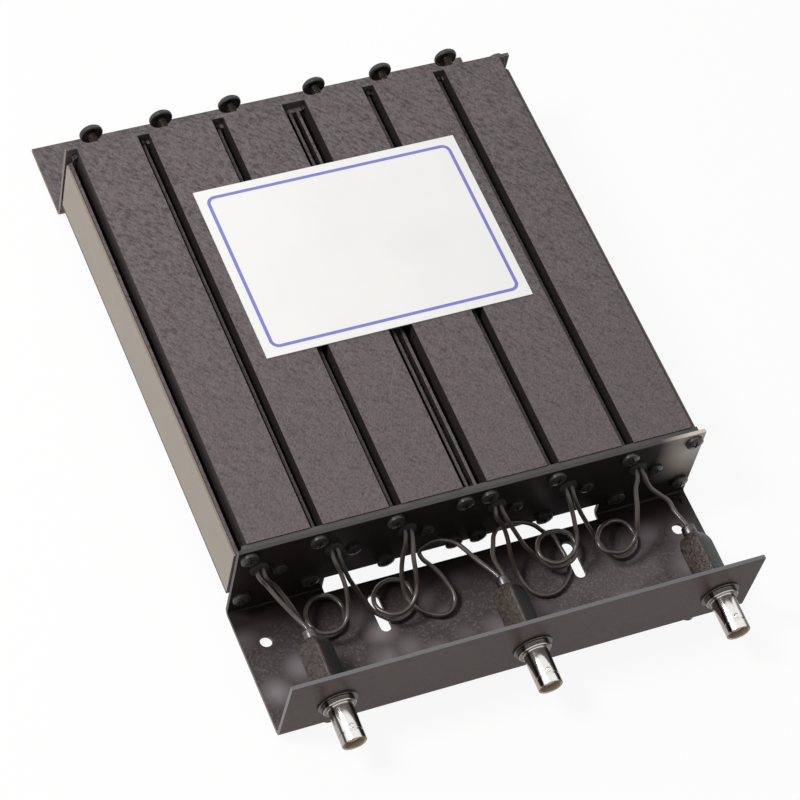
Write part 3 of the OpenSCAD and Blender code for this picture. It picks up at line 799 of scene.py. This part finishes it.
@dataclass
class Layout:
    """The layout frame of the CAD: y = 0 at the front upright, z = 0 under the sheets."""

    grommet_flange: float = 0.9 * MM
    port_height: float = 29 * MM
    port_offset: float = 8.6 * MM
    lead_pair: float = 2.4 * MM
    ferrule_pair: float = 1.95 * MM
    lean: float = math.radians(2.5)
    boot_start: float = 4.8 * MM
    boot_end: float = 26 * MM
    ferrule: float = 4 * MM
    flange_y: float = -54.626 * MM
    jack_height: float = 17 * MM
    origin: Vector = field(init=False)
    tuners: list[float] = field(init=False)
    jacks: dict[Jack, float] = field(init=False)

    def __post_init__(self) -> None:
        """Reads the origin, tuning axes and jacks from the frame's boxes."""
        self.origin = Vector((0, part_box("port_grommets")[0][1] + self.grommet_flange,
                              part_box("front_bracket")[0][2]))
        self.tuners = [self.middle(f"tuning_knob_{k}")[0] for k in TUNERS]
        self.jacks = {jack: self.middle(f"boot_{jack.value}")[0] for jack in Jack}

    @staticmethod
    def middle(node: str) -> Vector:
        """The middle of a CAD node's box."""
        low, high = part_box(node)
        return (Vector(low) + Vector(high)) / 2

    def point(self, x: float, y: float, z: float) -> Vector:
        """A point of the layout frame, in millimetres, in the row frame."""
        return self.origin + Vector((x, y, z)) * MM

    def port(self, cell: int, side: int, y: float) -> Vector:
        """A point on the axis of one lead's hole in a grommet.

        Args:
            cell: Number of the cell from the left, from 0.
            side: -1 for the left hole, 1 for the right hole.
            y: Place along y, in layout metres.

        Returns:
            The point in the row frame.
        """
        x = self.tuners[cell] - self.port_offset + side * self.lead_pair / 2
        return self.origin + Vector((x, y, self.port_height))

    def jack_matrix(self, jack: Jack) -> Matrix:
        """Turns a jack's own frame, with z out of the flange, to the row frame."""
        foot = self.origin + Vector((self.jacks[jack], self.flange_y, self.jack_height))
        return Matrix.Translation(foot) @ Matrix.Rotation(math.pi / 2 + self.lean, 4, "X")

    def tuner_matrix(self, node: str) -> Matrix:
        """Turns a frame with z to the rear, from the front of a rod or knob, to the row frame."""
        foot = self.middle(node)
        foot.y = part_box(node)[0][1]
        return Matrix.Translation(foot) @ Matrix.Rotation(-math.pi / 2, 4, "X")

    def behind(self, jack: Jack, depth: float, side: int) -> Vector:
        """A point behind the flange on a jack's axis, or beside it by half a pair."""
        return self.jack_matrix(jack) @ Vector((side * self.ferrule_pair / 2, 0, -depth))


@dataclass
class Loom:
    """The eight coaxial leads as smooth round tubes along the routes of the CAD."""

    layout: Layout
    finish: Material
    radius: float = 0.9 * MM
    inside: float = 3.6 * MM
    outside: float = -1.2 * MM
    straight: Pair = (0.6 * MM, 1 * MM)
    routes: dict[int, list[Triple]] = field(default_factory=lambda: {
        1: [(-87, -3, 28.5), (-84, -6, 24.5), (-81, -11, 21.5), (-77.5, -17, 19)],
        2: [(-84.5, -3, 28), (-79.5, -5.5, 20.5), (-76, -9.5, 15), (-73, -14, 10),
            (-70.5, -17, 5.5), (-67.5, -19.5, 3.5), (-64, -21.5, 3.5), (-60, -21, 3),
            (-56, -19, 3), (-54, -14.5, 3), (-53.5, -10, 3), (-55.5, -6.5, 3.5),
            (-58.5, -5.5, 4.5), (-63, -6, 6), (-67.5, -9.5, 8), (-70, -14, 9), (-70, -18.5, 9.5),
            (-68, -21.5, 9), (-64.5, -23, 9), (-60.5, -23, 9.5), (-57, -21, 10.5),
            (-55, -17, 13), (-54.5, -13, 17.5), (-55.4, -8, 22.5), (-57.5, -3.5, 28)],
        3: [(-54.8, -3.5, 27), (-52.3, -8, 19.5), (-49.5, -10.5, 14), (-46.5, -13.5, 9),
            (-43.5, -17, 5), (-40, -20, 3.5), (-37, -22, 3), (-33, -22, 3), (-29, -20, 3),
            (-26.5, -16, 3), (-26, -11.5, 3.5), (-27.5, -8, 4), (-31, -6.5, 4.5),
            (-35.5, -7, 5.5), (-40, -10, 7), (-42.5, -13.5, 8), (-43, -17.5, 8.5), (-41, -21, 9),
            (-38, -23, 9.5), (-34, -23, 10), (-30, -21, 11.5), (-27.5, -17.5, 14),
            (-27, -13.5, 18.5), (-27, -9, 23.5), (-25.9, -3.5, 28)],
        4: [(-28.5, -3.5, 27), (-29.8, -6.5, 20), (-30.5, -9.5, 14.5), (-30.5, -13, 10),
            (-30, -16.5, 7), (-28.5, -19.5, 6), (-26, -22, 4.5), (-22.5, -24, 3.5),
            (-18.5, -25.5, 3.5), (-15, -25, 3.5), (-12.5, -22.5, 4), (-11.5, -19, 5),
            (-12.5, -14.5, 6), (-14.5, -10, 7.5), (-17, -6.5, 9), (-19.5, -4, 11), (-20, -2, 13),
            (-18, -1.5, 15), (-15, -1.5, 17), (-11.5, -3, 18.5), (-8, -5.5, 19),
            (-5.5, -9.5, 19), (-3, -13.5, 18)],
        5: [(8.5, -3.5, 27), (11.5, -5, 21.5), (13, -8.5, 16.5), (13.5, -12, 12), (14.5, -15, 8),
            (15.5, -18.5, 5), (17, -23, 3.5), (19.5, -27, 3), (23.5, -29, 3), (28.5, -28.5, 3),
            (33, -25.5, 3), (36, -21.5, 3), (37, -16, 3), (36.5, -11, 3.5), (35, -6, 5),
            (32, -4.5, 6.5), (28, -2.5, 10), (23, -1.5, 13), (18, -1.5, 15), (13, -2.5, 16.5),
            (9, -5, 17), (6.5, -9.5, 17), (4.5, -14.5, 17)],
        6: [(11.5, -3.5, 27.5), (15.5, -8, 20), (19, -12, 14.5), (23, -15, 10), (26.5, -18.5, 7),
            (30.5, -20.5, 6.5), (35, -20, 6), (39.5, -17.5, 6), (41.5, -13.5, 6.5),
            (41, -9.5, 7), (38, -7, 8), (34, -6.5, 9), (29, -8, 10.5), (25, -12, 12),
            (24, -16.5, 12), (26, -19.5, 11.5), (29.5, -21, 11), (34, -20.5, 11.5),
            (38, -18, 12.5), (39.5, -15, 15), (39.5, -11.5, 18.5), (39, -7.5, 23),
            (38, -3.5, 28)],
        7: [(40.6, -3.5, 27), (43, -7, 20.5), (46.5, -9.5, 13.5), (49.5, -13, 8), (52, -16.5, 4.5),
            (54.5, -20, 3.5), (58, -22, 3), (62.5, -21, 3), (66, -17.5, 3), (67, -12.5, 3),
            (65.5, -8.5, 3.5), (61.5, -7, 5), (55.5, -9, 8), (50.5, -13, 11), (48, -17.5, 11.5),
            (49, -21, 11), (52.5, -22.5, 10), (56.5, -23, 9.5), (60.5, -21.5, 10),
            (63.5, -19, 12), (64.5, -15.5, 16), (65.5, -11, 20.5), (66, -6.5, 24.5),
            (67.3, -3.5, 28)],
        8: [(70.2, -3.5, 28), (71.8, -6.5, 24.2), (75.2, -9.5, 21.5), (78.5, -12.5, 19.5),
            (79.5, -16.5, 18)],
    })

    def ends(self, lead: int) -> tuple[list[Vector], list[Vector]]:
        """The straight first and last stretch of a lead.

        Args:
            lead: Number of the lead, from 1.

        Returns:
            Points before and after the lead's route.
        """
        starts = {1: (0, -1), 2: (0, 1), 3: (1, 1), 4: (2, -1), 5: (3, -1), 6: (3, 1),
                  7: (4, 1), 8: (5, 1)}
        ports = {2: (1, -1), 3: (2, 1), 6: (4, -1), 7: (5, -1)}
        jacks = {1: (Jack.LEFT, 0), 4: (Jack.MIDDLE, -1), 5: (Jack.MIDDLE, 1),
                 8: (Jack.RIGHT, 0)}
        cell, side = starts[lead]
        first = [self.layout.port(cell, side, y) for y in (self.inside, self.outside)]
        if lead in ports:
            cell, side = ports[lead]
            last = [self.layout.port(cell, side, y) for y in (self.outside, self.inside)]
        else:
            jack, side = jacks[lead]
            clear, length = self.straight
            clear += self.layout.boot_end + self.layout.ferrule
            last = [self.layout.behind(jack, depth, side)
                    for depth in (clear, clear - length, self.layout.boot_end)]
        return first, last

    def build(self) -> None:
        """Makes every lead."""
        for lead, route in self.routes.items():
            first, last = self.ends(lead)
            points = first + [self.layout.point(*spot) for spot in route] + last
            self.tube(f"coax_lead_{lead}", points, f"lead_{lead}")

    def tube(self, name: str, points: Sequence[Vector], node: str) -> None:
        """Makes one round tube through the points.

        Args:
            name: Name of the piece.
            points: Points that the lead passes.
            node: CAD node that it stands for.
        """
        curve = bpy.data.curves.new(name, "CURVE")
        curve.dimensions = "3D"
        curve.bevel_depth = self.radius
        curve.bevel_resolution = 4
        curve.resolution_u = 6
        curve.use_fill_caps = True
        spline = curve.splines.new("BEZIER")
        spline.bezier_points.add(len(points) - 1)
        for knot, point in zip(spline.bezier_points, points):
            knot.co = point
            knot.handle_left_type = knot.handle_right_type = "AUTO"
        piece = bpy.data.objects.new(name, curve)
        bpy.context.scene.collection.objects.link(piece)
        curve.materials.append(self.finish)
        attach(piece, ROOT)
        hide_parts(node)
        log.info("%s: %d points", name, len(points))


@dataclass
class JackSet:
    """The three coaxial jacks, their moulded boots and the crimped ferrules."""

    layout: Layout
    palette: Palette
    washer: float = 0.6 * MM
    collar: Pair = (6.5 * MM, 2.2 * MM)
    barrel: Pair = (4.85 * MM, 17.5 * MM)
    groove: Triple = (4.55 * MM, 13.5 * MM, 14.1 * MM)
    cup: Pair = (4.05 * MM, 8 * MM)
    thread: float = 4.35 * MM
    stub: Pair = (3 * MM, 8 * MM)
    core: float = 2 * MM
    stud: Triple = (1 * MM, 5.5 * MM, 12.5 * MM)
    stud_taper: float = 0.86
    boot_half: float = 4.9 * MM
    boot_half_end: float = 3.4 * MM
    boot_turn: float = math.radians(52)
    boot_straight: float = 18.4 * MM
    boot_edge: float = 1 * MM
    boot_shoulder: float = 2 * MM
    ferrule_radius: float = 2.7 * MM
    edge: float = 0.25 * MM

    def build(self) -> None:
        """Makes a shell, a boot and a ferrule for each jack."""
        for jack in Jack:
            self.shell(jack)
            self.boot(jack)
        self.ferrules()

    def shell(self, jack: Jack) -> None:
        """Makes one nickel-plated shell with its two bayonet studs."""
        cut = self.edge
        back = self.layout.boot_start
        wide, thick = self.collar
        radius, reach = self.barrel
        waist, low, high = self.groove
        bore, floor = self.cup
        stem, stem_length = self.stub
        mesh = turned([
            (self.core, floor), (self.core, -back - stem_length), (stem, -back - stem_length),
            (stem, -back), (self.thread, -back), (self.thread, self.washer),
            (wide - cut, self.washer), (wide, self.washer + cut),
            (wide, self.washer + thick - cut), (wide - cut, self.washer + thick),
            (radius + cut, self.washer + thick), (radius, self.washer + thick + cut),
            (radius, low - cut / 2), (waist, low), (waist, high), (radius, high + cut / 2),
            (radius, reach - cut), (radius - cut, reach), (bore + cut, reach),
            (bore, reach - cut), (bore, floor),
        ], 64)
        across, reach_out, height = self.stud
        for side in (-1, 1):
            stud = bmesh.ops.create_cone(
                mesh, cap_ends=True, segments=24, radius1=across,
                radius2=across * self.stud_taper, depth=reach_out - bore - cut,
                matrix=Matrix.Translation((0, side * (reach_out + bore + cut) / 2, height))
                @ Matrix.Rotation(-side * math.pi / 2, 4, "X"))
            rim = [edge for edge in edges_of(mesh, stud)
                   if all(side * v.co.y > reach_out - NEAR for v in edge.verts)]
            bevelled(mesh, rim, cut, 2)
        self.mark(mesh, (self.washer + thick, reach), (bore + NEAR, floor - NEAR))
        mesh.transform(self.layout.jack_matrix(jack))
        finished(f"jack_shell_{jack.value}", mesh, self.palette.nickel, ROOT,
                 [f"jack_{jack.value}"])

    @staticmethod
    def mark(mesh: bmesh.types.BMesh, fronts: Sequence[float], cup: Pair) -> None:
        """Writes how far each point is turned to a side, and which lie on a front face or in
        the cup.

        Args:
            mesh: The shell, with z along its axis.
            fronts: Heights of its front faces.
            cup: Radius and floor of the cup.
        """
        turn, front, inside = (mesh.verts.layers.float.new(name)
                               for name in ("turn", "front", "inside"))
        for vert in mesh.verts:
            across = max(math.hypot(vert.co.x, vert.co.y), NEAR)
            vert[turn] = vert.co.x / across
            vert[front] = float(any(abs(vert.co.z - height) < NEAR for height in fronts))
            vert[inside] = float(across < cup[0] and vert.co.z > cup[1])

    def boot(self, jack: Jack) -> None:
        """Makes one moulded boot: a square block with an edge up and a rounded taper."""
        start, end = -self.layout.boot_start, -self.layout.boot_end
        shoulder = start - self.boot_straight
        size = 2 * self.boot_half
        mesh = bmesh.new()
        bmesh.ops.create_cube(mesh, size=1, matrix=Matrix.Translation(
            (0, 0, (start + end) / 2)) @ Matrix.Diagonal((size, size, start - end, 1)))
        bmesh.ops.bisect_plane(mesh, geom=mesh.verts[:] + mesh.edges[:] + mesh.faces[:],
                               plane_co=(0, 0, shoulder), plane_no=(0, 0, 1))
        tail = [vert for vert in mesh.verts if vert.co.z < shoulder - NEAR]
        shrink = self.boot_half_end / self.boot_half
        bmesh.ops.scale(mesh, vec=(shrink, shrink, 1), verts=tail)
        bends = [edge for edge in mesh.edges
                 if all(abs(vert.co.z - shoulder) < NEAR for vert in edge.verts)]
        bevelled(mesh, bends, self.boot_shoulder, 4)
        corners = [edge for edge in mesh.edges if edge.calc_face_angle(0) > math.radians(40)]
        bevelled(mesh, corners, self.boot_edge, 4)
        mesh.transform(self.layout.jack_matrix(jack) @ Matrix.Rotation(self.boot_turn, 4, "Z"))
        finished(f"moulded_boot_{jack.value}", mesh, self.palette.boot, ROOT,
                 [f"boot_{jack.value}"], 50)

    def ferrules(self) -> None:
        """Makes the three round ferrules between the boots and the leads."""
        mesh = bmesh.new()
        length = self.layout.ferrule
        for jack in Jack:
            sleeve = bmesh.ops.create_cone(
                mesh, cap_ends=True, segments=40, radius1=self.ferrule_radius,
                radius2=self.ferrule_radius, depth=length, matrix=self.layout.jack_matrix(jack)
                @ Matrix.Translation((0, 0, -self.layout.boot_end - length / 2)))
            rims = [edge for edge in edges_of(mesh, sleeve)
                    if edge.calc_face_angle(0) > math.radians(60)]
            bevelled(mesh, rims, 2 * self.edge, 3)
        finished("crimped_ferrules", mesh, self.palette.ferrule, ROOT,
                 ["jack_ferrules"], 40)


@dataclass
class TuningGear:
    """The knobs and rods of the six tuners."""

    layout: Layout
    palette: Palette
    knurls: int = 28
    knurl_depth: float = 0.2 * MM
    chamfer: float = 0.5 * MM
    dish: float = 0.3 * MM
    rod_end: float = 0.4 * MM

    def build(self) -> None:
        """Makes a knob and a rod for each tuner."""
        for number in TUNERS:
            self.knob(number)
            self.rod(number)

    def knob(self, number: int) -> None:
        """Makes the round knob of one tuner, with a knurled rim and a dished face."""
        node = f"tuning_knob_{number}"
        low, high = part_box(node)
        rod_low, rod_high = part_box(f"tuning_rod_{number}")
        radius = (high[0] - low[0]) / 2
        width = high[1] - low[1]
        hole = (rod_high[0] - rod_low[0]) / 2
        cut = self.chamfer
        mesh = turned([
            (hole, self.dish), (radius - 3 * self.dish, self.dish),
            (radius - 2 * self.dish - cut / 2, 0), (radius - cut, 0), (radius, cut),
            (radius, width - cut), (radius - cut, width), (hole, width),
        ], self.knurls * 2)
        for vert in mesh.verts:
            across = math.hypot(vert.co.x, vert.co.y)
            turn = math.atan2(vert.co.y, vert.co.x) * self.knurls * 2 / (2 * math.pi)
            if across > radius - 0.1 * cut and round(turn) % 2:
                vert.co.xy *= 1 - self.knurl_depth / across
        mesh.transform(self.layout.tuner_matrix(node))
        finished(f"knurled_knob_{number}", mesh, self.palette.knob, f"tuner_{number}",
                 [node], 30)

    def rod(self, number: int) -> None:
        """Makes the threaded rod of one tuner, with chamfered ends."""
        node = f"tuning_rod_{number}"
        low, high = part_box(node)
        radius = (high[0] - low[0]) / 2
        length = high[1] - low[1]
        end = self.rod_end
        mesh = turned([
            (AXIS, 0), (radius - end, 0), (radius, end), (radius, length - end),
            (radius - end, length), (AXIS, length),
        ], 32)
        mesh.transform(self.layout.tuner_matrix(node))
        finished(f"threaded_rod_{number}", mesh, self.palette.thread, f"tuner_{number}",
                 [node])


@dataclass(frozen=True)
class Lamp:
    """A square soft lamp that faces the object. Its power is in watts."""

    name: str
    place: Triple
    size: float
    power: float
    colour: Colour = (1.0, 1.0, 1.0)
    target: Triple = (0, 0, 20 * MM)

    def build(self) -> None:
        """Adds the lamp."""
        data = bpy.data.lights.new(self.name, "AREA")
        data.size = self.size
        data.energy = self.power
        data.color = self.colour
        lamp = bpy.data.objects.new(self.name, data)
        aim = Vector(self.target) - Vector(self.place)
        lamp.matrix_world = Matrix.Translation(self.place) @ aim.to_track_quat(
            "-Z", "Y").to_matrix().to_4x4()
        bpy.context.scene.collection.objects.link(lamp)


@dataclass
class Studio:
    """Camera, light, floor and world."""

    camera_place: Triple = (-0.41482, -0.62197, 1.03674)
    yaw: float = math.radians(-34.212)
    pitch: float = math.radians(35.771)
    roll: float = math.radians(14.778)
    focal: float = 146.83
    sensor: float = 36.0
    clip: Pair = (0.01, 20)
    world_strength: float = 0.24
    floor_glow: float = 0.92
    floor_tone: float = 0.86
    floor_roughness: float = 0.8
    floor_half: float = 4
    lamps: tuple[Lamp, ...] = (
        Lamp("key_lamp", (-0.78, 0.16, 1.02), 0.34, 13.4, (1.0, 0.99, 0.97)),
        Lamp("back_softbox", (0.2, 1.3, 1.2), 1.0, 6.0),
    )

    def build(self) -> None:
        """Sets up the whole studio."""
        self.camera()
        self.world()
        self.floor()
        for lamp in self.lamps:
            lamp.build()
        bpy.context.scene.view_settings.view_transform = "Standard"

    def camera(self) -> None:
        """Places the camera where the photograph was taken."""
        data = bpy.data.cameras.new("camera")
        data.lens = self.focal
        data.sensor_width = self.sensor
        data.clip_start, data.clip_end = self.clip
        camera = bpy.data.objects.new("camera", data)
        camera.matrix_world = (Matrix.Translation(self.camera_place)
                               @ Matrix.Rotation(self.yaw, 4, "Z")
                               @ Matrix.Rotation(self.pitch, 4, "X")
                               @ Matrix.Rotation(self.roll, 4, "Z"))
        bpy.context.scene.collection.objects.link(camera)
        bpy.context.scene.camera = camera

    def world(self) -> None:
        """A pale world that the camera and reflections see as white."""
        world = bpy.data.worlds.new("studio_world")
        world.use_nodes = True
        nodes = Nodes(world.node_tree)
        sky = nodes.tree.nodes["Background"]
        sky.inputs["Color"].default_value = (1, 1, 1, 1)
        strength = nodes.remap(nodes.seen(), 0, 1, self.world_strength, 1)
        nodes.link(strength, sky.inputs["Strength"])
        bpy.context.scene.world = world

    def floor(self) -> None:
        """A plain pale floor under the feet that stays white to the camera."""
        graph = Graph("studio_floor")
        graph.set(Base_Color=(*[self.floor_tone] * 3, 1), Roughness=self.floor_roughness)
        glow = graph.node("Emission", Color=(1, 1, 1, 1), Strength=1.0)
        both = graph.node("MixShader")
        shown = graph.math("MULTIPLY", graph.seen(), self.floor_glow)
        for index, source in enumerate((shown, graph.shader.outputs[0], glow.outputs[0])):
            graph.link(source, both.inputs[index])
        graph.link(both.outputs[0], graph.tree.nodes["Material Output"].inputs["Surface"])
        mesh = bmesh.new()
        bmesh.ops.create_grid(mesh, x_segments=2, y_segments=2, size=self.floor_half)
        data = bpy.data.meshes.new("studio_floor")
        mesh.to_mesh(data)
        mesh.free()
        floor = bpy.data.objects.new("studio_floor", data)
        data.materials.append(graph.material)
        bpy.context.scene.collection.objects.link(floor)


def main() -> None:
    """Builds the scene in order."""
    logging.basicConfig(level=logging.INFO, format="%(name)s: %(message)s")
    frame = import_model()
    Studio().build()
    layout = Layout()
    palette = Palette()
    palette.dress(frame["nodes"])
    for pieces in (Loom(layout, palette.jacket), JackSet(layout, palette),
                   TuningGear(layout, palette)):
        pieces.build()


if __name__ == "__main__":
    main()
